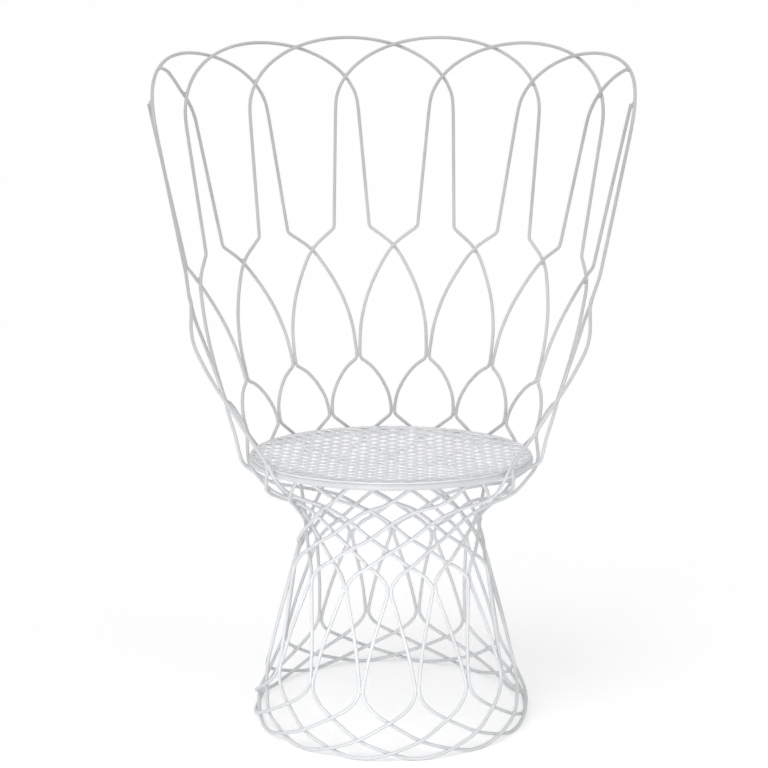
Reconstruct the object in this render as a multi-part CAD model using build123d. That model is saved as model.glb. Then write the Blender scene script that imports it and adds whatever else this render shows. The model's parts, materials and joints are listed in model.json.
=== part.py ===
from build123d import *
import math
import os

# Garden armchair of white wire rod, welded where the rods cross.
# Millimetres, +Z up, floor at Z = 0. The sitter faces -Y, and the origin is on the floor
# under the middle of the seat.
# The lattice repeats round the Z axis. Places round it are counted in half repeats, called steps,
# from the middle of the back (+Y) towards +X.

# Rod and welds
ROD_DIAMETER = 5.5
WELD_GAP = 0.3
REPEATS = 14
KISS_RUN = 12.0
KINK_RADIUS = 11.0
KISS_RADIUS = 60.0
CURVE_SHARE = 0.46
CURVE_ROUNDS = 8
STRAIGHT_SHARE = 0.99999
SWING_SHARES = (0.22, 0.46, 0.72)
SWING_POWER_SHARE = 2.0

# Back and arms: rod lattice above the seat
RIM_RADIUS = 380.0
RIM_HEIGHT = 1036.0
ARCH_RISE = 118.0
ARCH_HALF_STEPS = 2.25
ARCH_LEG_STEPS = 3
ARCH_BLEND_STEPS = 0.8
ARCH_ROUNDS = 8
KINK_RISE = 32.0
KINK_STEPS = 2.43
UPPER_CROSS_RADIUS = 314.5
UPPER_CROSS_HEIGHT = 691.0
UPPER_KISS_RADIUS = 263.0
UPPER_KISS_HEIGHT = 520.0
UPPER_KISS_BACK_RISE = 15.0
BACK_RISE = 20.0
SIDE_ARCH_STEPS = 7
SIDE_END_STEPS = 0.97
SIDE_DIP_FULL_STEPS = 1.25
SIDE_DIP_NONE_STEPS = 1.90
SIDE_KINK_STEPS = 0.43
OUTER_END_RISE = 64.0
ARM_TIP_STEPS = 8
ARM_LOOP_STEPS = 0.40
ARM_LOOP_BOW = 5.5
ARM_LOOP_SHARES = (0.14, 0.3, 0.5, 0.68)
ARM_EDGE_BOW = 16.0
ARM_EDGE_DIP = 8.0
ARM_FOOT_STEPS = 9.75
ARM_FOOT_SHARE = 0.53
ARM_FOOT_DIP = 4.5
ARM_FOOT_TURN_STEPS = 0.15
CORNER_ROD_STEPS = 10.1
CORNER_ROD_SHARE = 0.5
CORNER_START_SHARE = 2.2
FRONT_START_STEPS = 3

# Bends of the arm's edge rod: rows below its tip, then shares of its swing, its bow and its dip
ARM_EDGE_SHARES = [
    (0.33, 0.06, 1.0, 0.0),
    (0.68, 0.12, 0.6, 0.0),
    (1.00, 0.24, 0.0, 0.5),
    (1.60, 0.43, 0.0, 1.0),
]

# Seat: round rim and mesh
SEAT_RISE = 52.0
SEAT_FALL = 14.0
SEAT_LINE_RADIUS = 232.0
RIM_BAR_DIAMETER = 10.0
RIM_ROUNDS = 8
FRONT_BEND_STEPS = 0.15
MESH_THICKNESS = 4.0
MESH_LAP = 2.0
MESH_PITCH_ACROSS = 30.6
MESH_PITCH_DEEP = 27.2
MESH_STRAND = 5.0
MESH_BORDER = 12.0

# Bowl under the seat, waist and skirt
LOWER_KISS_RADIUS = 239.0
LOWER_KISS_RISE = 32.0
BOWL_1_RADIUS = 226.5
BOWL_1_DROP = 15.0
BOWL_2_RADIUS = 195.0
BOWL_2_HEIGHT = 372.0
BOWL_2_FRONT_RISE = 35.5
BOWL_3_RADIUS = 165.0
BOWL_3_HEIGHT = 356.0
BOWL_3_FRONT_RISE = 28.0
BOWL_4_RADIUS = 147.5
BOWL_4_HEIGHT = 344.0
BOWL_4_FRONT_RISE = 14.0
WAIST_1_RADIUS = 140.0
WAIST_1_HEIGHT = 330.5
WAIST_2_RADIUS = 140.0
WAIST_2_HEIGHT = 310.0
WAIST_3_RADIUS = 145.0
WAIST_3_HEIGHT = 286.5
COLLAR_RADIUS = 157.5
COLLAR_HEIGHT = 252.5
COLLAR_SWING_SHARE = 2.1
COLLAR_SHARES = (0.22, 0.45, 0.7)
ANKLE_RADIUS = 194.0
ANKLE_HEIGHT = 103.5
ANKLE_SHARES = (0.4, 0.7)
FOOT_1_RADIUS = 206.0
FOOT_1_HEIGHT = 56.5
FOOT_2_RADIUS = 216.0
FOOT_2_HEIGHT = 30.5
FOOT_3_RADIUS = 218.0
FOOT_3_HEIGHT = 12.0
FLOOR_RADIUS = 219.0
FLOOR_BEND = 400.0
FLOOR_HALF_STEPS = 0.28
FLOOR_LAYER_SHARE = 0.25
SKIRT_SWING_SHARE = 0.6
SKIRT_SWING_STEPS = 0.72
SKIRT_LEAN_SHARE = 0.2

# Values that follow from the sizes above
ROD_RADIUS = ROD_DIAMETER / 2
LAYER = (ROD_DIAMETER + WELD_GAP) / 2
STEP = math.pi / REPEATS
SEAT_HEIGHT = BOWL_2_HEIGHT + SEAT_RISE
RIM_BAR_RADIUS = RIM_BAR_DIAMETER / 2
RIM_REACH = RIM_BAR_RADIUS + WELD_GAP + ROD_RADIUS
SEAT_TILT = math.atan2(SEAT_FALL, SEAT_LINE_RADIUS)
KINK_SHARE = KINK_RISE / (RIM_HEIGHT - UPPER_CROSS_HEIGHT)

# Rows of the lattice from the top down: radius, height at the sides, rise at the back, rise at the front
ROWS = [
    (RIM_RADIUS, RIM_HEIGHT, BACK_RISE, 0.0),
    (UPPER_CROSS_RADIUS, UPPER_CROSS_HEIGHT, BACK_RISE, 0.0),
    (UPPER_KISS_RADIUS, UPPER_KISS_HEIGHT, UPPER_KISS_BACK_RISE, 0.0),
    (LOWER_KISS_RADIUS, SEAT_HEIGHT + LOWER_KISS_RISE, -SEAT_FALL, SEAT_FALL),
    (SEAT_LINE_RADIUS, SEAT_HEIGHT, -SEAT_FALL, SEAT_FALL),
    (BOWL_1_RADIUS, SEAT_HEIGHT - BOWL_1_DROP, -SEAT_FALL, SEAT_FALL),
    (BOWL_2_RADIUS, BOWL_2_HEIGHT, 0.0, BOWL_2_FRONT_RISE),
    (BOWL_3_RADIUS, BOWL_3_HEIGHT, 0.0, BOWL_3_FRONT_RISE),
    (BOWL_4_RADIUS, BOWL_4_HEIGHT, 0.0, BOWL_4_FRONT_RISE),
    (WAIST_1_RADIUS, WAIST_1_HEIGHT, 0.0, 0.0),
    (WAIST_2_RADIUS, WAIST_2_HEIGHT, 0.0, 0.0),
    (WAIST_3_RADIUS, WAIST_3_HEIGHT, 0.0, 0.0),
    (COLLAR_RADIUS, COLLAR_HEIGHT, 0.0, 0.0),
    (ANKLE_RADIUS, ANKLE_HEIGHT, 0.0, 0.0),
    (FOOT_1_RADIUS, FOOT_1_HEIGHT, 0.0, 0.0),
    (FOOT_2_RADIUS, FOOT_2_HEIGHT, 0.0, 0.0),
    (FOOT_3_RADIUS, FOOT_3_HEIGHT, 0.0, 0.0),
    (FLOOR_RADIUS, ROD_RADIUS, 0.0, 0.0),
]
RIM, UPPER_CROSS, UPPER_KISS, LOWER_KISS, SEAT_LINE, BOWL_1, BOWL_2 = range(7)
WAIST_3, COLLAR, ANKLE, FOOT_1, FOOT_2, FOOT_3, FLOOR = range(len(ROWS) - 7, len(ROWS))
LOOP_SPAN_STEPS = 2 * (FLOOR - FOOT_1)


def row_at(row, step):
    """Radius and height of one row at one place round the chair."""
    radius, height, back, front = ROWS[row]
    turn = math.cos(step * STEP)
    return radius, height + back * max(turn, 0.0) + front * max(-turn, 0.0)


def surface(level, step):
    """Radius and height between rows; level 2.5 is halfway from row 2 to row 3."""
    row = min(int(level), len(ROWS) - 2)
    part = level - row
    upper = row_at(row, step)
    lower = row_at(row + 1, step)
    return upper[0] + part * (lower[0] - upper[0]), upper[1] + part * (lower[1] - upper[1])


def uphill(level, step):
    """Unit direction up the lattice surface, as its radial and vertical parts."""
    above = surface(max(level - 0.5, 0), step)
    below = surface(min(level + 0.5, len(ROWS) - 1), step)
    outward = above[0] - below[0]
    upward = above[1] - below[1]
    size = math.hypot(outward, upward)
    return outward / size, upward / size


def spot(level, step, layer=0.0, beside=0.0, lift=0.0):
    """A rod's point: layer is off the surface, beside is round the chair, lift is up the surface."""
    radius, height = surface(level, step)
    outward, upward = uphill(level, step)
    radius = radius + lift * outward + layer * LAYER * upward
    height = height + lift * upward - layer * LAYER * outward
    angle = step * STEP
    across = beside * LAYER
    return Vector(
        radius * math.sin(angle) + across * math.cos(angle),
        radius * math.cos(angle) - across * math.sin(angle),
        height,
    )


def arch_level(rise):
    """Level of a point that lies this far above the spring line of the arches."""
    return (ARCH_RISE - rise) / (RIM_HEIGHT - UPPER_CROSS_HEIGHT)


def arch_spot(centre, offset, layer):
    """A point of the elliptic arch at a distance in steps from its centre."""
    share = min(abs(offset) / ARCH_HALF_STEPS, 1.0)
    rise = ARCH_RISE * math.sqrt(1 - share * share)
    return spot(arch_level(rise), centre + offset, layer), None


def half_arch(centre, side, first=0.0, dip=0.0):
    """Half of an arch from its crown, or from steps off it and layers inside, to its pointed bend."""
    start = math.asin(first / ARCH_HALF_STEPS)
    nodes = []
    for count in range(ARCH_ROUNDS + 1):
        offset = ARCH_HALF_STEPS * math.sin(start + (math.pi / 2 - start) * count / ARCH_ROUNDS)
        layer = side * min(offset / ARCH_BLEND_STEPS, 1.0)
        share = (SIDE_DIP_NONE_STEPS - offset) / (SIDE_DIP_NONE_STEPS - SIDE_DIP_FULL_STEPS)
        inward = dip * max(min(share, 1.0), 0.0)
        nodes.append(arch_spot(centre, side * offset, layer - inward))
    nodes.append((spot(UPPER_CROSS - KINK_SHARE, centre + side * KINK_STEPS, side), KINK_RADIUS))
    return nodes


def swing(level, step, way, layer, beside, parts=SWING_SHARES, power=SWING_POWER_SHARE):
    """Points of a rod that swings one step round while it goes down one row, ending upright."""
    nodes = []
    for part in parts:
        turn = 1 - (1 - part) ** power
        place = spot(level + part, step + way * turn, layer * (1 - turn), beside * turn)
        nodes.append((place, None))
    return nodes


def kiss(row, step, beside, below=KINK_RADIUS):
    """Two points of a rod that lies side by side with another one."""
    upper = (spot(row, step, 0.0, beside, KISS_RUN / 2), KISS_RADIUS)
    lower = (spot(row, step, 0.0, beside, -KISS_RUN / 2), below)
    return [upper, lower]


def bowl_run(step, way):
    """A rod from the bowl's first row, where it is at this step, down to the collar."""
    nodes = []
    for row in range(BOWL_1, WAIST_3 + 1):
        nodes.append((spot(row, step + way * (row - BOWL_1), way), None))
    last = step + way * (WAIST_3 - BOWL_1)
    nodes += swing(WAIST_3, last, way, way, -way, COLLAR_SHARES, COLLAR_SWING_SHARE)
    nodes.append((spot(COLLAR, last + way, 0.0, -way, KISS_RUN / 2), KISS_RADIUS))
    nodes.append((spot(COLLAR, last + way, 0.0, -way), KISS_RADIUS))
    return nodes


def seat_pass(step, way):
    """A rod that leaves the lower kiss at this step, passes the seat rim and runs to the collar."""
    share = LOWER_KISS_RISE / (LOWER_KISS_RISE + BOWL_1_DROP)
    nodes = [(spot(SEAT_LINE, step + way * share, way), None)]
    return nodes + bowl_run(step + way, way)


def lattice_drop(step, way):
    """A rod from an upper crossing down both kisses and past the seat to the collar."""
    nodes = [(spot(UPPER_CROSS, step, way), None)]
    nodes += swing(UPPER_CROSS, step, way, way, -way)
    nodes += kiss(UPPER_KISS, step + way, -way)
    nodes += swing(UPPER_KISS, step + way, -way, 0.0, way)
    nodes += kiss(LOWER_KISS, step, way)
    return nodes + seat_pass(step, way)


def arm_tip(side):
    """The edge arch's rod from the arm's tip: down to the upper kiss and in a loop to the bowl."""
    step = side * ARM_TIP_STEPS
    nodes = kiss(UPPER_CROSS, step, -side, KISS_RADIUS)
    nodes += swing(UPPER_CROSS, step, -side, -side, side)
    nodes += kiss(UPPER_KISS, step - side, side)
    rows = BOWL_1 - UPPER_KISS
    for share in ARM_LOOP_SHARES:
        bulge = math.sin(math.pi * share)
        place = spot(
            UPPER_KISS + share * rows,
            step - side + side * ARM_LOOP_STEPS * bulge,
            ARM_LOOP_BOW / LAYER * bulge,
        )
        nodes.append((place, None))
    return nodes + bowl_run(step - side, -side)


def beside_rim(step):
    """The place on the inner face of the seat rim where a front rod is welded to it."""
    radius = rim_radius - RIM_REACH
    angle = step * STEP
    deep = radius * math.cos(angle)
    return Vector(
        radius * math.sin(angle),
        deep * math.cos(SEAT_TILT),
        SEAT_HEIGHT - deep * math.sin(SEAT_TILT),
    )


def tidy(nodes):
    """Leave out points that lie on the straight line between their neighbours."""
    kept = [nodes[0]]
    for here, after in zip(nodes[1:], nodes[2:]):
        first = (here[0] - kept[-1][0]).normalized()
        second = (after[0] - here[0]).normalized()
        if first.dot(second) < STRAIGHT_SHARE:
            kept.append(here)
    kept.append(nodes[-1])
    return kept


def bends(nodes):
    """Arc start, middle and end at each inner point of a rod's path."""
    arcs = []
    for before, here, after in zip(nodes, nodes[1:], nodes[2:]):
        first = here[0] - before[0]
        second = after[0] - here[0]
        limit = CURVE_SHARE * min(first.length, second.length)
        first = first.normalized()
        second = second.normalized()
        half = math.acos(max(-1.0, min(1.0, first.dot(second)))) / 2
        radius = limit / math.tan(half)
        if here[1] is not None:
            radius = min(radius, here[1])
        reach = radius * math.tan(half)
        inward = (second - first).normalized()
        middle = here[0] + inward * (radius / math.cos(half) - radius)
        arcs.append((here[0] - first * reach, middle, here[0] + second * reach))
    return arcs


def eased(path):
    """Move the corners of a path out until its free arcs pass through the points that it was given."""
    aims = tidy(path)
    nodes = list(aims)
    for _ in range(CURVE_ROUNDS):
        arcs = bends(nodes)
        for place, arc in enumerate(arcs, start=1):
            aim, cap = aims[place]
            if cap is None:
                nodes[place] = (nodes[place][0] + (aim - arc[1]), None)
    return nodes


def rod(path):
    """A round rod along straight runs joined by tangent arcs."""
    nodes = eased(path)
    edges = []
    end = nodes[0][0]
    for start, middle, finish in bends(nodes):
        edges.append(Edge.make_line(end, start))
        edges.append(Edge.make_three_point_arc(start, middle, finish))
        end = finish
    edges.append(Edge.make_line(end, nodes[-1][0]))
    heading = nodes[1][0] - nodes[0][0]
    section = Plane(origin=nodes[0][0], z_dir=heading) * Circle(ROD_RADIUS)
    return sweep(section, path=Wire(edges))


def arch_leg(centre, side):
    """Half of an arch rod, from its crown down to the collar."""
    upper = half_arch(centre, side)
    foot = centre + side * ARCH_LEG_STEPS
    if foot == side * ARM_TIP_STEPS:
        return upper + arm_tip(side)
    return upper + lattice_drop(foot, side)


def side_inner(side):
    """A rod that ends inside the shoulder of the last arch and runs as half an arch to the collar."""
    centre = side * SIDE_ARCH_STEPS
    # The left strand lies outside the last arch's leg, so its end dips to the inside
    dip = 2 * (1 - side)
    upper = half_arch(centre, -side, SIDE_END_STEPS, dip)
    return upper + lattice_drop(centre - side * ARCH_LEG_STEPS, -side)


def side_outer(side):
    """A rod that ends beside the outer leg of the last arch and runs down to the collar."""
    reach = ARCH_HALF_STEPS * math.sqrt(1 - (OUTER_END_RISE / ARCH_RISE) ** 2)
    last = side * (SIDE_ARCH_STEPS - 2 + reach)
    nodes = [(spot(arch_level(OUTER_END_RISE), last, -side), None)]
    kink = side * (SIDE_ARCH_STEPS - SIDE_KINK_STEPS)
    nodes.append((spot(UPPER_CROSS - KINK_SHARE, kink, -side), KINK_RADIUS))
    return nodes + lattice_drop(side * (SIDE_ARCH_STEPS - 1), -side)


def arm_foot(side, beside=0.0):
    """The place above the seat rim's front corner where the arm's edge ends."""
    level = LOWER_KISS + ARM_FOOT_SHARE
    return spot(level, side * ARM_FOOT_STEPS, -ARM_FOOT_DIP / LAYER, beside)


def edge_path(side):
    """Path of the rod down the front edge of an arm, past the seat rim and on to the collar."""
    tip = side * ARM_TIP_STEPS
    nodes = [(spot(UPPER_CROSS, tip, 0.0, side, KISS_RUN / 2), None)]
    nodes.append(kiss(UPPER_CROSS, tip, side, None)[1])
    swing_steps = side * (ARM_FOOT_STEPS - ARM_TIP_STEPS)
    for rows, turn, bow, dip in ARM_EDGE_SHARES:
        outward = (bow * ARM_EDGE_BOW - dip * ARM_EDGE_DIP) / LAYER
        nodes.append((spot(UPPER_CROSS + rows, tip + turn * swing_steps, outward), None))
    nodes.append((arm_foot(side), None))
    nodes.append((spot(SEAT_LINE, side * ARM_FOOT_STEPS, -1), None))
    below = (SEAT_LINE + BOWL_1) / 2
    nodes.append((spot(below, side * (ARM_FOOT_STEPS - ARM_FOOT_TURN_STEPS), -1), None))
    return nodes + bowl_run(tip + side, -side)[1:]


def corner_path(side):
    """Path of a front corner rod that starts beside the arm's edge rod at the seat rim."""
    nodes = [(arm_foot(side, side * CORNER_START_SHARE), None)]
    nodes.append((spot(SEAT_LINE, side * CORNER_ROD_STEPS, -CORNER_ROD_SHARE), None))
    return nodes + bowl_run(side * (ARM_TIP_STEPS + 1), side)[1:]


def front_path(step):
    """Path of a front rod that is bent along the inner face of the seat rim."""
    left = bowl_run(step, -1)[1:]
    right = bowl_run(step, 1)[1:]
    bend = [(beside_rim(step + way * FRONT_BEND_STEPS), None) for way in (-1, 1)]
    return left[::-1] + bend + right


def foot_half(step, way):
    """Half of a foot loop, from the collar at this step to the floor."""
    nodes = [(spot(COLLAR, step, 0.0, -way), None)]
    nodes.append((spot(COLLAR, step, 0.0, -way, -KISS_RUN / 2), KISS_RADIUS))
    side = step - way * SKIRT_SWING_STEPS
    nodes.append((spot(COLLAR + SKIRT_SWING_SHARE, side, 0.0, way * SKIRT_LEAN_SHARE), None))
    nodes += kiss(ANKLE, step - way, way, KISS_RADIUS)
    for share in ANKLE_SHARES:
        turn = share ** SWING_POWER_SHARE
        nodes.append((spot(ANKLE + share, step - way + way * turn, way * turn, way * (1 - turn)), None))
    for row in (FOOT_1, FOOT_2, FOOT_3):
        nodes.append((spot(row, step + way * (row - FOOT_1), way), None))
    floor = step + way * (LOOP_SPAN_STEPS / 2 - FLOOR_HALF_STEPS)
    nodes.append((spot(FLOOR, floor, way * FLOOR_LAYER_SHARE), FLOOR_BEND))
    return nodes


def snug_rim_radius(paths):
    """Largest rim whose bar lies one weld gap inside every rod that passes the seat."""
    best = SEAT_LINE_RADIUS
    for path in paths:
        points = [place for bend in bends(eased(path)) for place in bend]
        for start, finish in zip(points, points[1:]):
            for count in range(RIM_ROUNDS + 1):
                place = start + (finish - start) * (count / RIM_ROUNDS)
                local_y = place.Y * math.cos(SEAT_TILT) - (place.Z - SEAT_HEIGHT) * math.sin(SEAT_TILT)
                local_z = place.Y * math.sin(SEAT_TILT) + (place.Z - SEAT_HEIGHT) * math.cos(SEAT_TILT)
                if abs(local_z) < RIM_REACH:
                    inset = math.sqrt(RIM_REACH ** 2 - local_z ** 2)
                    best = min(best, math.hypot(place.X, local_y) - inset)
    return best


def seat_mesh(radius):
    """Round sheet with staggered diamond gaps, lying on the seat rim in the seat's own plane."""
    cell_x = MESH_PITCH_ACROSS / 2
    cell_y = MESH_PITCH_DEEP / 2
    open_share = 1 - MESH_STRAND / 2 * math.hypot(cell_x, cell_y) / (cell_x * cell_y)
    half_x = cell_x * open_share
    half_y = cell_y * open_share
    limit = radius - MESH_BORDER
    across = int(radius / MESH_PITCH_ACROSS) + 1
    deep = int(radius / MESH_PITCH_DEEP) + 1
    gaps = []
    for shift in (0.0, 0.5):
        for column in range(-across, across + 1):
            for line in range(-deep, deep + 1):
                x = (column + shift) * MESH_PITCH_ACROSS
                y = (line + shift) * MESH_PITCH_DEEP
                far = max(math.hypot(abs(x) + half_x, y), math.hypot(x, abs(y) + half_y))
                if far < limit:
                    corners = [(x + half_x, y), (x, y + half_y), (x - half_x, y), (x, y - half_y)]
                    gaps.append(Wire.make_polygon([Vector(*corner) for corner in corners], close=True))
    print("seat mesh gaps:", len(gaps))
    sheet = extrude(Face(Wire.make_circle(radius), gaps), MESH_THICKNESS)
    return Pos(0, 0, RIM_BAR_RADIUS + WELD_GAP) * sheet


# Rod paths
paths = {}
for count, centre in enumerate(range(2 - SIDE_ARCH_STEPS, SIDE_ARCH_STEPS, 2)):
    paths["back_arch_rod_%d" % (count + 1)] = arch_leg(centre, -1)[:0:-1] + arch_leg(centre, 1)
for side, word in ((-1, "left"), (1, "right")):
    paths["side_inner_rod_" + word] = side_inner(side)
    paths["side_outer_rod_" + word] = side_outer(side)
    paths["arm_edge_rod_" + word] = edge_path(side)
    paths["front_single_rod_" + word] = corner_path(side)

# Seat rim, sized to lie just inside the rods that pass it
rim_radius = snug_rim_radius(paths.values())
print("seat rim centre radius: %.2f" % rim_radius)

first_front = ARM_TIP_STEPS + FRONT_START_STEPS
for count, step in enumerate(range(first_front, 2 * REPEATS - first_front + 1, 2)):
    paths["front_bowl_rod_%d" % (count + 1)] = front_path(step)
for count in range(REPEATS):
    step = 2 * count
    loop = foot_half(step, 1) + foot_half(step + LOOP_SPAN_STEPS, -1)[::-1]
    paths["foot_loop_rod_%02d" % (count + 1)] = loop

seat_place = Location((0, 0, SEAT_HEIGHT), (-math.degrees(SEAT_TILT), 0, 0))
nodes = {name: rod(path) for name, path in paths.items()}
nodes["seat_rim"] = seat_place * Torus(rim_radius, RIM_BAR_RADIUS)
nodes["seat_mesh"] = seat_place * seat_mesh(rim_radius + MESH_LAP)

os.makedirs("parts", exist_ok=True)
for name, shape in nodes.items():
    shape.label = name
    export_step(shape, "parts/%s.step" % name)
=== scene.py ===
import json
import logging
import math
from dataclasses import dataclass, field
from enum import Enum
from typing import Any

import bpy
import numpy as np
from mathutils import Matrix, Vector

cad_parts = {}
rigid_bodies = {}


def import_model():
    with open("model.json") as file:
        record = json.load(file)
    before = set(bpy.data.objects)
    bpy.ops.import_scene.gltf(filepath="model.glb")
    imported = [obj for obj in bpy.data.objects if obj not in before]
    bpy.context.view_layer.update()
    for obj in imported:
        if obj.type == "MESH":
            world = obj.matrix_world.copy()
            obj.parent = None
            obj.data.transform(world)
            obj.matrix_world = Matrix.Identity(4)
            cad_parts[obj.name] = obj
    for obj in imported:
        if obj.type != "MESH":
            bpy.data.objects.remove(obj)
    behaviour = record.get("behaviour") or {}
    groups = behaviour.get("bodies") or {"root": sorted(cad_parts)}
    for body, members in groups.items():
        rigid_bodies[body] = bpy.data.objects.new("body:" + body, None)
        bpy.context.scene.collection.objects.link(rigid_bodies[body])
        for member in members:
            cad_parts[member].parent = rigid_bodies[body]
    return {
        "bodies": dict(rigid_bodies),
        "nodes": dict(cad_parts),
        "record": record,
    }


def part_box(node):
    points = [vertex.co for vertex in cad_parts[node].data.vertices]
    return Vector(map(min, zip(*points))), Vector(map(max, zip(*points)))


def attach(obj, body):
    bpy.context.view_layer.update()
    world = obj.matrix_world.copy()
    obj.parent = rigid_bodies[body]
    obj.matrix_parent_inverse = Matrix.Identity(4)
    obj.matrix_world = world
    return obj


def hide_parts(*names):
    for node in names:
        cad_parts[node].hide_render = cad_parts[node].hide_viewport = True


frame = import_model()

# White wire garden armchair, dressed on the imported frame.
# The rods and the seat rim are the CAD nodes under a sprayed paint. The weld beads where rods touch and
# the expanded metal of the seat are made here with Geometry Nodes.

Colour = tuple[float, float, float]
Triple = tuple[float, float, float]
Cell = tuple[int, ...]

BODY = "root"
MILLIMETRE = 0.001
SHORTEST = 1e-12

log = logging.getLogger("armchair")


class Slot(str, Enum):
    """Material slots of the record."""

    ROD = "white_rod"
    RIM = "white_rim"
    MESH = "white_mesh"


class Meeting(Enum):
    """How two rods meet at a weld."""

    CROSSING = "crossing"
    SIDE_BY_SIDE = "side by side"
    END_TO_END = "end to end"


class Sketch:
    """Adds and links the nodes of one node tree."""

    def __init__(self, tree: bpy.types.NodeTree) -> None:
        """Keeps the tree that nodes are added to."""
        self.tree = tree

    def node(self, kind: str, inputs: dict[str | int, Any] | None = None, **settings: Any) -> bpy.types.Node:
        """Adds one node.

        Args:
            kind: Type name of the node.
            inputs: Input name or number, with a socket to link from or a plain value.
            **settings: Properties of the node itself.

        Returns:
            The new node.
        """
        made = self.tree.nodes.new(kind)
        for name, value in settings.items():
            setattr(made, name, value)
        for name, value in (inputs or {}).items():
            self.feed(made.inputs[name], value)
        return made

    def feed(self, socket: bpy.types.NodeSocket, value: Any) -> None:
        """Links a socket from another one, or sets its plain value.

        Args:
            socket: The input that is fed.
            value: An output to link from, or a plain value.
        """
        if isinstance(value, bpy.types.NodeSocket):
            self.tree.links.new(value, socket)
        else:
            socket.default_value = value

    def math(self, operation: str, *values: Any) -> bpy.types.NodeSocket:
        """Adds a Math node over the given values and returns its result."""
        return self.node("ShaderNodeMath", dict(enumerate(values)), operation=operation).outputs[0]

    def vector(self, operation: str, *values: Any) -> bpy.types.Node:
        """Adds a Vector Math node over the given values and returns it."""
        return self.node("ShaderNodeVectorMath", dict(enumerate(values)), operation=operation)

    def noise(self, where: bpy.types.NodeSocket, scale: float, detail: float) -> bpy.types.NodeSocket:
        """Adds a noise of the given scale and returns its grey value."""
        inputs = {"Vector": where, "Scale": scale, "Detail": detail}
        return self.node("ShaderNodeTexNoise", inputs).outputs[0]

    def spread(
        self, value: bpy.types.NodeSocket, low: float, high: float, out: tuple[float, float]
    ) -> bpy.types.NodeSocket:
        """Maps low to high onto out, clamped, and returns the result."""
        inputs = {"Value": value, "From Min": low, "From Max": high, "To Min": out[0], "To Max": out[1]}
        return self.node("ShaderNodeMapRange", inputs).outputs["Result"]

    def seen(self) -> bpy.types.NodeSocket:
        """Tells the camera's rays from those that only carry light.

        Returns:
            1 for rays by which the camera sees a thing straight, in a reflection or through glass.
        """
        rays = self.node("ShaderNodeLightPath").outputs
        straight = self.math("MAXIMUM", rays["Is Camera Ray"], rays["Is Glossy Ray"])
        return self.math("MAXIMUM", straight, rays["Is Transmission Ray"])

    def mix(self, share: bpy.types.NodeSocket, first: Any, second: Any) -> bpy.types.NodeSocket:
        """Mixes two colours.

        Args:
            share: Share of the second colour.
            first: A colour or a socket that gives one.
            second: A colour or a socket that gives one.

        Returns:
            The mixed colour.
        """
        made = self.node("ShaderNodeMix", data_type="RGBA")
        for socket, value in zip((made.inputs[0], made.inputs[6], made.inputs[7]), (share, first, second)):
            self.feed(socket, value)
        return made.outputs[2]


@dataclass(frozen=True)
class Grain:
    """A broken pattern of patches, made of noise.

    Attributes:
        scale: About how many patches there are to the metre.
        detail: How ragged their edges are.
        low: Grey value of the noise up to which there is no patch.
        high: Grey value from which a patch is full.
    """

    scale: float
    detail: float
    low: float
    high: float

    def share(
        self, sketch: Sketch, where: bpy.types.NodeSocket, out: tuple[float, float] = (0.0, 1.0)
    ) -> bpy.types.NodeSocket:
        """Adds the pattern to a tree.

        Args:
            sketch: Sketch of the tree.
            where: Coordinates that the pattern lies in.
            out: Values outside the patches and inside them.

        Returns:
            The value of the pattern.
        """
        return sketch.spread(sketch.noise(where, self.scale, self.detail), self.low, self.high, out)


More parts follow.
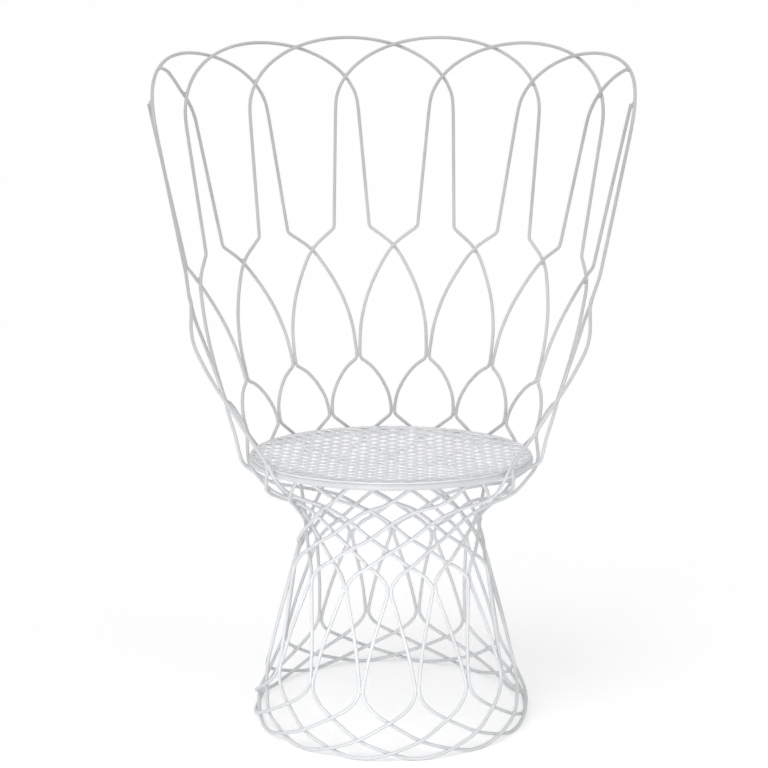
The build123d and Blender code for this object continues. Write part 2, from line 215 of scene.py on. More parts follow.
@dataclass(frozen=True)
class Paint:
    """A sprayed white paint on steel, weathered a little.

    Attributes:
        name: Name of the material.
        colour: Colour of fresh paint.
        dulled: Colour of the patches that the weather has dulled.
        dust: Colour of the dust that lies on upper faces.
        scuff: Colour where the paint is rubbed thin on the floor.
        gloss: Roughness of the smoothest and of the dullest paint.
        coat: Weight of the clear top layer.
        peel: How many orange-peel dimples there are to the metre.
        peel_detail: How ragged the dimples are.
        peel_depth: How strongly the dimples show.
        peel_height: Height of the dimples.
        patches: Pattern of the dulled paint.
        sheen: Pattern of the smooth and the dull paint.
        dusting: Pattern of the dust.
        dust_tilt: Upward share of a face's direction from which dust begins to lie.
        dust_most: Share of dust where it is thickest.
        rubbing: Pattern of the rubbed paint.
        scuff_height: Height above the floor up to which paint is rubbed.
        scuff_most: Share of rubbed paint where it is worst.
    """

    name: str
    colour: Colour = (0.70, 0.71, 0.72)
    dulled: Colour = (0.63, 0.64, 0.645)
    dust: Colour = (0.58, 0.575, 0.55)
    scuff: Colour = (0.36, 0.35, 0.33)
    gloss: tuple[float, float] = (0.30, 0.46)
    coat: float = 0.08
    peel: float = 420.0
    peel_detail: float = 1.0
    peel_depth: float = 0.10
    peel_height: float = 0.6 * MILLIMETRE
    patches: Grain = Grain(scale=14.0, detail=4.0, low=0.42, high=0.68)
    sheen: Grain = Grain(scale=55.0, detail=2.0, low=0.30, high=0.70)
    dusting: Grain = Grain(scale=120.0, detail=3.0, low=0.40, high=0.75)
    dust_tilt: float = 0.55
    dust_most: float = 0.30
    rubbing: Grain = Grain(scale=260.0, detail=3.0, low=0.42, high=0.60)
    scuff_height: float = 3.5 * MILLIMETRE
    scuff_most: float = 0.75

    def material(self) -> bpy.types.Material:
        """Makes the procedural material.

        Returns:
            A material whose patterns lie in the object's own space.
        """
        made = bpy.data.materials.new(self.name)
        made.use_nodes = True
        made.node_tree.nodes.clear()
        sketch = Sketch(made.node_tree)
        where = sketch.node("ShaderNodeTexCoord").outputs["Object"]
        colour = sketch.mix(self.patches.share(sketch, where), (*self.colour, 1.0), (*self.dulled, 1.0))
        colour = sketch.mix(self.dust_share(sketch, where), colour, (*self.dust, 1.0))
        colour = sketch.mix(self.scuff_share(sketch, where), colour, (*self.scuff, 1.0))
        roughness = self.sheen.share(sketch, where, self.gloss)
        dimples = sketch.noise(where, self.peel, self.peel_detail)
        bump = sketch.node(
            "ShaderNodeBump", {"Height": dimples, "Strength": self.peel_depth, "Distance": self.peel_height}
        )
        shader = sketch.node(
            "ShaderNodeBsdfPrincipled",
            {
                "Base Color": colour,
                "Roughness": roughness,
                "Normal": bump.outputs[0],
                "Coat Weight": self.coat,
            },
        )
        sketch.node("ShaderNodeOutputMaterial", {"Surface": shader.outputs[0]})
        return made

    def dust_share(self, sketch: Sketch, where: bpy.types.NodeSocket) -> bpy.types.NodeSocket:
        """Lays dust on faces that look up, in a fine broken pattern.

        Args:
            sketch: Sketch of the material.
            where: Coordinates that the pattern lies in.

        Returns:
            The share of dust.
        """
        normal = sketch.node("ShaderNodeNewGeometry").outputs["Normal"]
        upward = sketch.node("ShaderNodeSeparateXYZ", {0: normal}).outputs["Z"]
        lying = sketch.spread(upward, self.dust_tilt, 1.0, (0.0, 1.0))
        broken = self.dusting.share(sketch, where, (0.0, self.dust_most))
        return sketch.math("MULTIPLY", lying, broken)

    def scuff_share(self, sketch: Sketch, where: bpy.types.NodeSocket) -> bpy.types.NodeSocket:
        """Rubs the paint on the lowest few millimetres that stand on the floor.

        Args:
            sketch: Sketch of the material.
            where: Coordinates that the pattern lies in.

        Returns:
            The share of rubbed paint.
        """
        height = sketch.node("ShaderNodeSeparateXYZ", {0: where}).outputs["Z"]
        low = sketch.spread(height, 0.0, self.scuff_height, (1.0, 0.0))
        broken = self.rubbing.share(sketch, where, (0.0, self.scuff_most))
        return sketch.math("MULTIPLY", low, broken)


@dataclass
class Contact:
    """One place where two rods touch.

    Attributes:
        place: Middle of the contact.
        along: Direction of the weld.
        through: Direction from one rod to the other.
        half: Half sizes of the bead along, across and through.
    """

    place: np.ndarray
    along: np.ndarray
    through: np.ndarray
    half: Triple


def unit(vector: np.ndarray) -> np.ndarray:
    """The vector at length 1."""
    return vector / max(float(np.linalg.norm(vector)), SHORTEST)


@dataclass
class ContactFinder:
    """Finds where bars of the frame touch, from points on their surfaces.

    Attributes:
        spacing: Distance of the points along an edge.
        cell: Size of the cells in which points of two bars come together.
        linked: How many cells apart the cells of one contact may be.
        reach: How far round a contact the bars' directions are read.
        digits: Decimal places of a metre at which two points count as one.
        most_points: About how many points of a bar are read round a contact.
        touch: How much wider than the narrowest gap the bars still count as touching.
        butt: Cosine of the angle between the weld and the way through, above which bars meet end to end.
        beside: Cosine of the angle between two bars, above which they lie side by side.
        aslant: A direction that no bar takes.
        crossing: Half sizes of a bead at a crossing.
        end: Half sizes of a bead round a butt joint.
        groove: Half sizes across and through of a bead between bars that lie side by side.
        groove_run: Least and greatest half length of such a bead.
        clouds: Points of each bar.
    """

    spacing: float = 2.0 * MILLIMETRE
    cell: float = 3.0 * MILLIMETRE
    linked: int = 2
    reach: float = 10.0 * MILLIMETRE
    digits: int = 4
    most_points: int = 900
    touch: float = 0.6 * MILLIMETRE
    butt: float = 0.7
    beside: float = 0.93
    aslant: Triple = (0.36, 0.48, 0.80)
    crossing: Triple = (5.4 * MILLIMETRE, 3.2 * MILLIMETRE, 2.0 * MILLIMETRE)
    end: Triple = (2.4 * MILLIMETRE, 3.05 * MILLIMETRE, 3.05 * MILLIMETRE)
    groove: tuple[float, float] = (2.4 * MILLIMETRE, 1.7 * MILLIMETRE)
    groove_run: tuple[float, float] = (4.0 * MILLIMETRE, 9.0 * MILLIMETRE)
    clouds: list[np.ndarray] = field(default_factory=list)

    def cloud(self, bar: bpy.types.Object) -> np.ndarray:
        """Points along all edges of a bar, no further apart than the spacing.

        Args:
            bar: A CAD node.

        Returns:
            An array of points, one row each.
        """
        mesh = bar.data
        spots = np.empty(len(mesh.vertices) * 3)
        mesh.vertices.foreach_get("co", spots)
        spots = spots.reshape(-1, 3)
        ends = np.empty(len(mesh.edges) * 2, dtype=np.int64)
        mesh.edges.foreach_get("vertices", ends)
        starts, stops = spots[ends[0::2]], spots[ends[1::2]]
        counts = np.ceil(np.linalg.norm(stops - starts, axis=1) / self.spacing).astype(int) + 1
        edge = np.repeat(np.arange(len(counts)), counts)
        order = np.arange(len(edge)) - np.repeat(np.cumsum(counts) - counts, counts)
        share = (order / counts[edge])[:, None]
        return starts[edge] * (1.0 - share) + stops[edge] * share

    def find(self, bars: list[bpy.types.Object]) -> list[Contact]:
        """Finds every contact between two of the bars.

        Args:
            bars: The CAD nodes to look through.

        Returns:
            One contact for each weld.
        """
        self.clouds = [self.cloud(bar) for bar in bars]
        cells: dict[Cell, set[int]] = {}
        for number, cloud in enumerate(self.clouds):
            for key in map(tuple, np.unique(np.floor(cloud / self.cell).astype(int), axis=0)):
                cells.setdefault(key, set()).add(number)
        shared: dict[tuple[int, ...], list[Cell]] = {}
        for key, owners in cells.items():
            if len(owners) == 2:
                shared.setdefault(tuple(sorted(owners)), []).append(key)
        found = []
        for pair, keys in sorted(shared.items()):
            for group in self.groups(np.array(sorted(keys))):
                found.append(self.contact(pair, (group.mean(axis=0) + 0.5) * self.cell))
        return found

    def groups(self, keys: np.ndarray) -> list[np.ndarray]:
        """Splits cells into groups whose members lie near each other.

        Args:
            keys: Whole-number places of the cells.

        Returns:
            The groups, each an array of cells.
        """
        left = list(range(len(keys)))
        made = []
        while left:
            group, edge = [left[0]], [left.pop(0)]
            while edge:
                here = keys[edge.pop()]
                near = [i for i in left if np.abs(keys[i] - here).max() <= self.linked]
                left = [i for i in left if i not in near]
                group += near
                edge += near
            made.append(keys[group])
        return made

    def contact(self, pair: tuple[int, ...], guess: np.ndarray) -> Contact:
        """Measures one contact.

        Args:
            pair: Numbers of the two bars.
            guess: A point near the contact.

        Returns:
            The contact with its directions and the sizes of its bead.
        """
        near = [self.near(number, guess) for number in pair]
        gaps = np.linalg.norm(near[0][:, None, :] - near[1][None, :, :], axis=2)
        first, second = np.nonzero(gaps < gaps.min() + self.touch)
        touching = (near[0][first] + near[1][second]) / 2.0
        place = touching.mean(axis=0)
        runs = [self.direction(points) for points in near]
        through = unit(near[1].mean(axis=0) - near[0].mean(axis=0))
        if runs[0] @ runs[1] < 0.0:
            runs[1] = -runs[1]
        along = unit(runs[0] + runs[1])
        if abs(along @ through) > self.butt:
            meeting = Meeting.END_TO_END
        elif runs[0] @ runs[1] > self.beside:
            meeting = Meeting.SIDE_BY_SIDE
        else:
            meeting = Meeting.CROSSING
        if meeting is Meeting.END_TO_END:
            through = unit(np.cross(along, self.aslant))
        through = unit(through - along * (along @ through))
        return Contact(place, along, through, self.sizes(meeting, touching, along))

    def near(self, number: int, guess: np.ndarray) -> np.ndarray:
        """Picks the points of one bar round a contact, thinned to a few hundred.

        Args:
            number: Number of the bar.
            guess: A point near the contact.

        Returns:
            An array of points, one row each.
        """
        cloud = self.clouds[number]
        chosen = cloud[np.linalg.norm(cloud - guess, axis=1) < self.reach]
        step = max(1, len(chosen) // self.most_points)
        return np.unique(np.round(chosen, self.digits), axis=0)[::step]

    def direction(self, points: np.ndarray) -> np.ndarray:
        """The direction in which a bar's points spread most."""
        return np.linalg.svd(points - points.mean(axis=0), full_matrices=False)[2][0]

    def sizes(self, meeting: Meeting, touching: np.ndarray, along: np.ndarray) -> Triple:
        """Sizes the bead for one kind of meeting.

        Args:
            meeting: How the bars meet.
            touching: Points at which they touch.
            along: Direction of the weld.

        Returns:
            Half sizes of the bead along, across and through.
        """
        if meeting is Meeting.CROSSING:
            return self.crossing
        if meeting is Meeting.END_TO_END:
            return self.end
        run = touching @ along
        shortest, longest = self.groove_run
        half = min(max(float(np.ptp(run)) / 2.0, shortest), longest)
        return (half, *self.groove)


class Growth:
    """A Geometry Nodes tree with named inputs, grown on a base object into a plain mesh."""

    def __init__(self, name: str, inputs: dict[str, tuple[str, Any]]) -> None:
        """Starts the tree.

        Args:
            name: Name of the tree.
            inputs: Input name to its socket type and the value it gets.
        """
        self.tree = bpy.data.node_groups.new(name, "GeometryNodeTree")
        self.sketch = Sketch(self.tree)
        self.values = {label: value for label, (_, value) in inputs.items()}
        face = self.tree.interface
        face.new_socket("Geometry", in_out="INPUT", socket_type="NodeSocketGeometry")
        for label, (kind, _) in inputs.items():
            face.new_socket(label, in_out="INPUT", socket_type=kind)
        face.new_socket("Geometry", in_out="OUTPUT", socket_type="NodeSocketGeometry")
        self.given = self.sketch.node("NodeGroupInput").outputs

    def end(self, geometry: bpy.types.NodeSocket) -> None:
        """Makes the geometry real, paints it with the Paint input and hands it out.

        Args:
            geometry: What the tree has made.
        """
        real = self.sketch.node("GeometryNodeRealizeInstances", {"Geometry": geometry})
        painted = self.sketch.node(
            "GeometryNodeSetMaterial", {"Geometry": real.outputs[0], "Material": self.given["Paint"]}
        )
        self.sketch.node("NodeGroupOutput", {"Geometry": painted.outputs[0]})

    def grow(self, base: bpy.types.Object) -> None:
        """Runs the tree on an object and keeps the result as its plain mesh.

        Args:
            base: The object whose mesh is the tree's starting geometry.
        """
        modifier = base.modifiers.new(self.tree.name, "NODES")
        modifier.node_group = self.tree
        for item in self.tree.interface.items_tree:
            if item.in_out == "INPUT" and item.name in self.values:
                modifier[item.identifier] = self.values[item.name]
        bpy.context.view_layer.update()
        evaluated = base.evaluated_get(bpy.context.evaluated_depsgraph_get())
        mesh = bpy.data.meshes.new_from_object(evaluated)
        mesh.name = base.name
        base.modifiers.remove(modifier)
        base.data = mesh


def mesh_object(name: str, spots: list[Any], faces: list[Any]) -> bpy.types.Object:
    """Makes an object from points and faces and puts it into the scene.

    Args:
        name: Name of the object.
        spots: Points of the mesh.
        faces: Point numbers of each face.

    Returns:
        The new object.
    """
    mesh = bpy.data.meshes.new(name)
    mesh.from_pydata([tuple(spot) for spot in spots], [], faces)
    made = bpy.data.objects.new(name, mesh)
    bpy.context.scene.collection.objects.link(made)
    return made


@dataclass
class WireFrame:
    """The bent rods and the round seat rim, which keep their CAD shapes.

    Attributes:
        rod_paint: Finish of the rods.
        rim_paint: Finish of the rim.
    """

    rod_paint: Paint
    rim_paint: Paint

    def bars(self) -> list[bpy.types.Object]:
        """All rods and the rim, in a fixed order."""
        return [node for name, node in sorted(frame["nodes"].items()) if name != "seat_mesh"]

    def dress(self) -> None:
        """Paints the rods and the rim."""
        rod, rim = self.rod_paint.material(), self.rim_paint.material()
        for bar in self.bars():
            for held in bar.material_slots:
                held.material = rim if bar.name == "seat_rim" else rod
        log.info("wire frame: %d bars painted", len(self.bars()))


@dataclass
class WeldBeads:
    """The painted weld beads that join the rods to each other and to the rim.

    Attributes:
        paint: Finish of the beads.
        rings: Rings of faces along one bead.
        sides: Faces round one bead.
        ripple: How far the rings rise and fall along a bead.
        spread: How much the beads differ in size.
        seed: Seed of that difference.
    """

    paint: Paint
    rings: int = 6
    sides: int = 9
    ripple: float = 0.07
    spread: float = 0.12
    seed: int = 7

    def bead(self) -> bpy.types.Object:
        """Shapes one bead of half size 1, its surface rippled along its run.

        Returns:
            The bead, which is removed once it has been repeated.
        """
        spots: list[Triple] = [(-1.0, 0.0, 0.0)]
        for ring in range(1, self.rings):
            angle = math.pi * ring / self.rings
            radius = math.sin(angle) * (1.0 + self.ripple * math.cos(math.pi * ring))
            for side in range(self.sides):
                turn = math.tau * (side + 0.5 * (ring % 2)) / self.sides
                spots.append((-math.cos(angle), radius * math.cos(turn), radius * math.sin(turn)))
        spots.append((1.0, 0.0, 0.0))
        firsts = range(1, len(spots) - 1, self.sides)
        rows = [[first + side for side in range(self.sides)] for first in firsts]
        faces: list[tuple[int, ...]] = []
        for side in range(self.sides):
            after = (side + 1) % self.sides
            faces.append((0, rows[0][after], rows[0][side]))
            faces.append((len(spots) - 1, rows[-1][side], rows[-1][after]))
            for lower, upper in zip(rows, rows[1:]):
                faces.append((lower[side], lower[after], upper[after], upper[side]))
        return mesh_object("weld_bead", spots, faces)

    def nodes(self, bead: bpy.types.Object, paint: bpy.types.Material) -> Growth:
        """The tree that sets a bead on each contact.

        Args:
            bead: The bead that is repeated.
            paint: Its material.

        Returns:
            The tree, ready to grow on a mesh of contacts.
        """
        growth = Growth(
            "weld_beads",
            {
                "Bead": ("NodeSocketObject", bead),
                "Paint": ("NodeSocketMaterial", paint),
                "Spread": ("NodeSocketFloat", self.spread),
                "Seed": ("NodeSocketInt", self.seed),
            },
        )
        sketch, given = growth.sketch, growth.given
        along, through, half = (
            sketch.node(
                "GeometryNodeInputNamedAttribute", {"Name": name}, data_type="FLOAT_VECTOR"
            ).outputs[0]
            for name in ("along", "through", "half")
        )
        turned = sketch.node(
            "FunctionNodeAxesToRotation",
            {"Primary Axis": along, "Secondary Axis": through},
            primary_axis="X",
            secondary_axis="Z",
        )
        chance = sketch.node(
            "FunctionNodeRandomValue",
            {
                2: sketch.math("SUBTRACT", 1.0, given["Spread"]),
                3: sketch.math("ADD", 1.0, given["Spread"]),
                "Seed": given["Seed"],
            },
            data_type="FLOAT",
        )
        size = sketch.vector("SCALE", half)
        sketch.feed(size.inputs["Scale"], chance.outputs[1])
        model = sketch.node("GeometryNodeObjectInfo", {"Object": given["Bead"]})
        placed = sketch.node(
            "GeometryNodeInstanceOnPoints",
            {
                "Points": given["Geometry"],
                "Instance": model.outputs["Geometry"],
                "Rotation": turned.outputs[0],
                "Scale": size.outputs[0],
            },
        )
        smooth = sketch.node("GeometryNodeSetShadeSmooth", {"Geometry": placed.outputs[0]})
        growth.end(smooth.outputs[0])
        return growth

    def build(self, bars: list[bpy.types.Object]) -> bpy.types.Object:
        """Sets a bead on every contact of the bars.

        Args:
            bars: Rods and rim of the frame.

        Returns:
            The beads as one piece.
        """
        contacts = ContactFinder().find(bars)
        beads = mesh_object("weld_beads", [contact.place for contact in contacts], [])
        for name in ("along", "through", "half"):
            values = np.array([getattr(contact, name) for contact in contacts], dtype=np.float32)
            stored = beads.data.attributes.new(name, "FLOAT_VECTOR", "POINT")
            stored.data.foreach_set("vector", values.ravel())
        bead = self.bead()
        self.nodes(bead, self.paint.material()).grow(beads)
        bpy.data.objects.remove(bead)
        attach(beads, BODY)
        log.info("weld beads: %d on %d bars", len(contacts), len(bars))
        return beads


@dataclass
class SeatMesh:
    """The seat of painted expanded metal that lies on the rim.

    Attributes:
        paint: Finish of the metal, painted paler than the rods' white paint as painted light.
        pitch_across: Width of a diamond from side to side.
        pitch_deep: Length of a diamond from front to back.
        strand: Width of a strand.
        thickness: Thickness of the metal.
        twist: How far the edges of a strand rise and fall.
        blunt: Half width of a diamond's blunt end.
        border: Width of the plain edge strip.
        strip: Height of the edge strip, in thicknesses of the metal.
        segments: Straight runs of the round edge.
        cutter: Depth of the tool that cuts the sheet round.
        merge: Distance within which points become one.
        dish: How far the middle sags.
    """

    paint: Paint
    pitch_across: float = 30.6 * MILLIMETRE
    pitch_deep: float = 27.2 * MILLIMETRE
    strand: float = 5.0 * MILLIMETRE
    thickness: float = 1.9 * MILLIMETRE
    twist: float = 0.3 * MILLIMETRE
    blunt: float = 1.6 * MILLIMETRE
    border: float = 3.0 * MILLIMETRE
    strip: float = 1.3
    segments: int = 120
    cutter: float = 50.0 * MILLIMETRE
    merge: float = 0.01 * MILLIMETRE
    dish: float = 9.0 * MILLIMETRE

    def tile(self) -> bpy.types.Object:
        """Shapes one flat diamond with its opening, half of each strand round it.

        Returns:
            The diamond, which is removed once it has been repeated.
        """
        wide, deep = self.pitch_across / 2.0, self.pitch_deep / 2.0
        slope = math.hypot(wide, deep)
        inner_wide = wide - self.strand / 2.0 * slope / deep
        inner_deep = deep - self.strand / 2.0 * slope / wide
        cut = inner_deep * (1.0 - self.blunt / inner_wide)
        spots = [(wide, 0.0, 0.0), (0.0, deep, 0.0), (-wide, 0.0, 0.0), (0.0, -deep, 0.0)]
        spots += [(inner_wide, 0.0, 0.0), (self.blunt, cut, -self.twist), (-self.blunt, cut, -self.twist)]
        spots += [(-inner_wide, 0.0, 0.0), (-self.blunt, -cut, self.twist), (self.blunt, -cut, self.twist)]
        faces = [(0, 1, 5, 4), (1, 6, 5), (1, 2, 7, 6), (2, 3, 8, 7), (3, 9, 8), (3, 0, 4, 9)]
        return mesh_object("seat_diamond", spots, faces)

    def nodes(self, tile: bpy.types.Object, paint: bpy.types.Material, radius: float) -> Growth:
        """The tree that lays out the diamonds, cuts them round and dishes them.

        Args:
            tile: The diamond that is repeated.
            paint: Its material.
            radius: Outer radius of the seat's metal.

        Returns:
            The tree, ready to grow.
        """
        growth = Growth(
            "seat_mesh_fine",
            {
                "Tile": ("NodeSocketObject", tile),
                "Paint": ("NodeSocketMaterial", paint),
                "Radius": ("NodeSocketFloat", radius),
                "Border": ("NodeSocketFloat", self.border),
                "Thickness": ("NodeSocketFloat", self.thickness),
                "Dish": ("NodeSocketFloat", self.dish),
                "Half Pitch": ("NodeSocketVector", (self.pitch_across / 2.0, self.pitch_deep / 2.0, 0.0)),
                "Columns": ("NodeSocketInt", 2 * math.ceil(radius / self.pitch_across) + 1),
                "Rows": ("NodeSocketInt", 2 * math.ceil(radius / self.pitch_deep) + 1),
            },
        )
        sheet = self.sheet(growth)
        cut = self.trimmed(growth, sheet)
        growth.end(self.dished(growth, cut))
        return growth

    def sheet(self, growth: Growth) -> bpy.types.NodeSocket:
        """Adds the flat sheet: diamonds on two staggered grids, joined and given thickness.

        Args:
            growth: The tree that the nodes are added to.

        Returns:
            The sheet.
        """
        sketch, given = growth.sketch, growth.given
        half = sketch.node("ShaderNodeSeparateXYZ", {0: given["Half Pitch"]})
        spans = [
            sketch.math("MULTIPLY", sketch.math("MULTIPLY", half.outputs[axis], 2.0),
                        sketch.math("SUBTRACT", given[count], 1.0))
            for axis, count in ((0, "Columns"), (1, "Rows"))
        ]
        grid = sketch.node(
            "GeometryNodeMeshGrid",
            {
                "Size X": spans[0],
                "Size Y": spans[1],
                "Vertices X": given["Columns"],
                "Vertices Y": given["Rows"],
            },
        )
        shifted = sketch.node(
            "GeometryNodeSetPosition", {"Geometry": grid.outputs[0], "Offset": given["Half Pitch"]}
        )
        both = sketch.node("GeometryNodeJoinGeometry")
        for part in (grid, shifted):
            sketch.tree.links.new(part.outputs[0], both.inputs[0])
        model = sketch.node("GeometryNodeObjectInfo", {"Object": given["Tile"]})
        placed = sketch.node(
            "GeometryNodeInstanceOnPoints", {"Points": both.outputs[0], "Instance": model.outputs["Geometry"]}
        )
        real = sketch.node("GeometryNodeRealizeInstances", {"Geometry": placed.outputs[0]})
        flat = sketch.node(
            "GeometryNodeMergeByDistance", {"Geometry": real.outputs[0], "Distance": self.merge}
        )
        raised = sketch.node(
            "GeometryNodeExtrudeMesh",
            {
                "Mesh": flat.outputs[0],
                "Offset": (0.0, 0.0, 1.0),
                "Offset Scale": given["Thickness"],
                "Individual": False,
            },
        )
        under = sketch.node("GeometryNodeFlipFaces", {"Mesh": flat.outputs[0]})
        solid = sketch.node("GeometryNodeJoinGeometry")
        for part in (raised, under):
            sketch.tree.links.new(part.outputs[0], solid.inputs[0])
        return sketch.node(
            "GeometryNodeMergeByDistance", {"Geometry": solid.outputs[0], "Distance": self.merge}
        ).outputs[0]

    def trimmed(self, growth: Growth, sheet: bpy.types.NodeSocket) -> bpy.types.NodeSocket:
        """Adds the nodes that cut the sheet round and set the edge strip on it.

        Args:
            growth: The tree that the nodes are added to.
            sheet: The flat sheet.

        Returns:
            The round metal with its edge strip.
        """
        sketch, given = growth.sketch, growth.given
        middle = sketch.math("SUBTRACT", given["Radius"], sketch.math("MULTIPLY", given["Border"], 0.5))
        cutter = sketch.node(
            "GeometryNodeMeshCylinder", {"Vertices": self.segments, "Radius": middle, "Depth": self.cutter}
        )
        cut = sketch.node("GeometryNodeMeshBoolean", operation="INTERSECT", solver="MANIFOLD")
        for part in (sheet, cutter.outputs["Mesh"]):
            sketch.tree.links.new(part, cut.inputs["Mesh 2"])
        circle = sketch.node(
            "GeometryNodeCurvePrimitiveCircle", {"Resolution": self.segments, "Radius": middle}
        )
        strip = sketch.node(
            "GeometryNodeCurvePrimitiveQuadrilateral",
            {"Width": given["Border"], "Height": sketch.math("MULTIPLY", given["Thickness"], self.strip)},
        )
        edge = sketch.node(
            "GeometryNodeCurveToMesh", {"Curve": circle.outputs[0], "Profile Curve": strip.outputs[0]}
        )
        both = sketch.node("GeometryNodeJoinGeometry")
        for part in (cut, edge):
            sketch.tree.links.new(part.outputs[0], both.inputs[0])
        return both.outputs[0]

    def dished(self, growth: Growth, metal: bpy.types.NodeSocket) -> bpy.types.NodeSocket:
        """Adds the nodes that let the middle of the metal sag.

        Args:
            growth: The tree that the nodes are added to.
            metal: The flat round metal.

        Returns:
            The dished metal.
        """
        sketch, given = growth.sketch, growth.given
        place = sketch.node("GeometryNodeInputPosition").outputs[0]
        level = sketch.vector("MULTIPLY", place, (1.0, 1.0, 0.0)).outputs[0]
        share = sketch.math("DIVIDE", sketch.vector("LENGTH", level).outputs["Value"], given["Radius"])
        depth = sketch.math("SUBTRACT", sketch.math("POWER", share, 2.0), 1.0)
        drop = sketch.node("ShaderNodeCombineXYZ", {"Z": sketch.math("MULTIPLY", depth, given["Dish"])})
        return sketch.node(
            "GeometryNodeSetPosition", {"Geometry": metal, "Offset": drop.outputs[0]}
        ).outputs[0]

    def build(self) -> bpy.types.Object:
        """Makes the seat's metal in the place of its CAD node.

        Returns:
            The metal as one piece.
        """
        low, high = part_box("seat_mesh")
        mount = next(mount for mount in frame["record"]["mounts"] if mount["name"] == "seat")
        lean = math.atan2(mount["axis"][1], mount["axis"][2])
        tile = self.tile()
        metal = mesh_object("seat_mesh_fine", [], [])
        self.nodes(tile, self.paint.material(), (high.x - low.x) / 2.0).grow(metal)
        bpy.data.objects.remove(tile)
        spots = np.empty(len(metal.data.vertices) * 3)
        metal.data.vertices.foreach_get("co", spots)
        spots = spots.reshape(-1, 3)
        spots[:, 2] -= self.thickness / 2.0
        turn = np.array(
            [
                [1.0, 0.0, 0.0],
                [0.0, math.cos(lean), math.sin(lean)],
                [0.0, -math.sin(lean), math.cos(lean)],
            ]
        )
        spots = spots @ turn.T + np.array((low + high) / 2.0)
        metal.data.vertices.foreach_set("co", spots.ravel())
        metal.data.update()
        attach(metal, BODY)
        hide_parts("seat_mesh")
        log.info("seat mesh: %d faces", len(metal.data.polygons))
        return metal


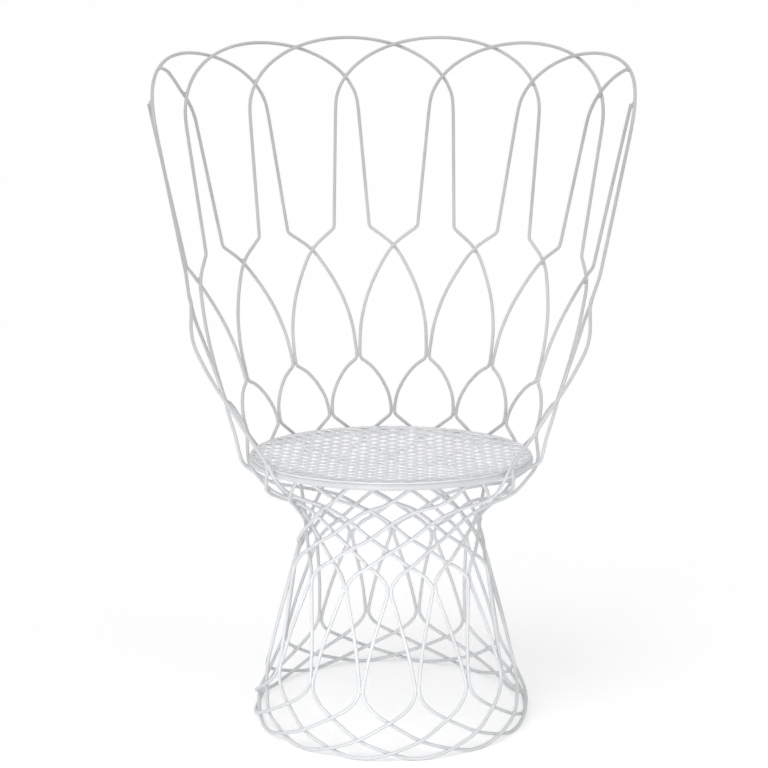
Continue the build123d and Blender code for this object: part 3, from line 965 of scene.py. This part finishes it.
@dataclass
class Studio:
    """Pale floor, soft light and the camera of the photograph.

    Attributes:
        eye: Where the camera stands.
        heading: Turn of the camera from straight ahead, to the left.
        pitch: Angle by which the camera looks down.
        lens: Focal length of the camera, in millimetres.
        sensor: Width of its sensor, in millimetres.
        sight: How far the camera sees.
        floor_colour: Colour of the floor.
        floor_change: How much paler its palest patches are.
        floor_grain: Pattern of those patches.
        floor_radius: Radius of the floor.
        floor_sides: Straight runs of its edge.
        floor_lift: How much paler the floor shows to the camera than it is lit.
        sky: Strength of the light from all round.
        key_aim: Direction of the main lamp's light.
        key: Strength of the main lamp.
        key_softness: Angle that the main lamp fills.
        fill_aim: Direction of the second lamp's light.
        fill: Strength of the second lamp.
        fill_softness: Angle that the second lamp fills.
        low_place: Where the low soft box stands.
        low_aim: What it is turned to.
        low_size: Its width and height.
        low_spread: Angle that its light fills.
        low_power: Its power in watts.
        low_colour: Colour of its light.
    """

    eye: Triple = (0.0451, -3.3822, 1.3437)
    heading: float = math.radians(0.95)
    pitch: float = math.radians(13.31)
    lens: float = 103.5
    sensor: float = 36.0
    sight: float = 200.0
    floor_colour: Colour = (0.93, 0.93, 0.93)
    floor_change: float = 0.01
    floor_grain: Grain = Grain(scale=3.0, detail=2.0, low=0.30, high=0.70)
    floor_radius: float = 60.0
    floor_sides: int = 96
    floor_lift: float = 0.30
    sky: float = 0.46
    key_aim: Triple = (0.45, 0.55, -1.0)
    key: float = 0.75
    key_softness: float = math.radians(35.0)
    fill_aim: Triple = (-0.7, 0.5, -1.0)
    fill: float = 0.36
    fill_softness: float = math.radians(50.0)
    low_place: Triple = (-0.25, -1.15, 0.16)
    low_aim: Triple = (0.0, 0.0, 0.24)
    low_size: tuple[float, float] = (1.2, 0.25)
    low_spread: float = math.radians(55.0)
    low_power: float = 1.4
    low_colour: Colour = (0.94, 0.96, 1.0)

    def floor(self) -> None:
        """Lays a round pale floor under the chair."""
        turns = [math.tau * side / self.floor_sides for side in range(self.floor_sides)]
        edge = [
            (self.floor_radius * math.cos(turn), self.floor_radius * math.sin(turn), 0.0) for turn in turns
        ]
        floor = mesh_object("floor", edge, [tuple(range(self.floor_sides))])
        made = bpy.data.materials.new("floor_paper")
        made.use_nodes = True
        made.node_tree.nodes.clear()
        sketch = Sketch(made.node_tree)
        where = sketch.node("ShaderNodeTexCoord").outputs["Object"]
        grain = self.floor_grain.share(sketch, where)
        paler = tuple(min(1.0, part + self.floor_change) for part in self.floor_colour)
        colour = sketch.mix(grain, (*self.floor_colour, 1.0), (*paler, 1.0))
        paper = sketch.node("ShaderNodeBsdfDiffuse", {"Color": colour})
        lift = sketch.math("MULTIPLY", sketch.seen(), self.floor_lift)
        lift = sketch.node("ShaderNodeEmission", {"Strength": lift})
        lifted = sketch.node("ShaderNodeAddShader", {0: paper.outputs[0], 1: lift.outputs[0]})
        sketch.node("ShaderNodeOutputMaterial", {"Surface": lifted.outputs[0]})
        floor.data.materials.append(made)

    def world(self) -> None:
        """A white surround for the camera and for reflections, which lights the chair softly."""
        made = bpy.data.worlds.new("studio")
        bpy.context.scene.world = made
        made.use_nodes = True
        made.node_tree.nodes.clear()
        sketch = Sketch(made.node_tree)
        strength = sketch.spread(sketch.seen(), 0.0, 1.0, (self.sky, 1.0))
        white = (1.0, 1.0, 1.0, 1.0)
        light = sketch.node("ShaderNodeBackground", {"Color": white, "Strength": strength})
        sketch.node("ShaderNodeOutputWorld", {"Surface": light.outputs[0]})

    def lamp(self, name: str, aim: Triple, strength: float, softness: float) -> None:
        """Adds a distant soft lamp.

        Args:
            name: Name of the lamp.
            aim: Direction from the lamp to the chair.
            strength: Strength of its light.
            softness: Angle that the lamp fills.
        """
        data = bpy.data.lights.new(name, "SUN")
        data.energy = strength
        data.angle = softness
        made = bpy.data.objects.new(name, data)
        made.rotation_mode = "QUATERNION"
        made.rotation_quaternion = Vector(aim).to_track_quat("-Z", "Y")
        bpy.context.scene.collection.objects.link(made)

    def low_box(self) -> None:
        """Adds a low soft box in front of the chair, which lights the bowl and the skirt."""
        data = bpy.data.lights.new("low_lamp", "AREA")
        data.shape = "RECTANGLE"
        data.size, data.size_y = self.low_size
        data.spread = self.low_spread
        data.energy = self.low_power
        data.color = self.low_colour
        made = bpy.data.objects.new("low_lamp", data)
        made.location = self.low_place
        made.rotation_mode = "QUATERNION"
        made.rotation_quaternion = (Vector(self.low_aim) - Vector(self.low_place)).to_track_quat("-Z", "Y")
        made.visible_camera = False
        bpy.context.scene.collection.objects.link(made)

    def camera(self) -> None:
        """Sets the camera where the photograph was taken from."""
        data = bpy.data.cameras.new("camera")
        data.lens = self.lens
        data.sensor_width = self.sensor
        data.clip_end = self.sight
        made = bpy.data.objects.new("camera", data)
        made.location = self.eye
        made.rotation_euler = (math.pi / 2.0 - self.pitch, 0.0, self.heading)
        bpy.context.scene.collection.objects.link(made)
        bpy.context.scene.camera = made

    def build(self) -> None:
        """Sets up the whole studio."""
        self.floor()
        self.world()
        self.lamp("key_lamp", self.key_aim, self.key, self.key_softness)
        self.lamp("fill_lamp", self.fill_aim, self.fill, self.fill_softness)
        self.low_box()
        self.camera()
        bpy.context.scene.view_settings.view_transform = "Standard"
        log.info("studio: floor, surround, three lamps and the camera")


def clear_start() -> None:
    """Removes what Blender puts into a new scene."""
    kept = {*frame["nodes"].values(), *frame["bodies"].values()}
    for thing in list(bpy.data.objects):
        if thing not in kept:
            bpy.data.objects.remove(thing)


def main() -> None:
    """Builds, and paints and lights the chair."""
    logging.basicConfig(level=logging.INFO, format="%(name)s: %(message)s")
    clear_start()
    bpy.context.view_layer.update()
    wire = WireFrame(rod_paint=Paint("rod_paint"), rim_paint=Paint("rim_paint", peel=300.0))
    wire.dress()
    WeldBeads(paint=Paint("weld_paint", peel=500.0, peel_depth=0.2)).build(wire.bars())
    # Same white paint as the rods, but its colour and dulled patches are made paler: painted light for the
    # brighter look of the seat mesh.
    mesh_paint = Paint("mesh_paint", colour=(0.87, 0.875, 0.89), dulled=(0.80, 0.805, 0.82), peel=520.0)
    SeatMesh(paint=mesh_paint).build()
    Studio().build()


if __name__ == "__main__":
    main()
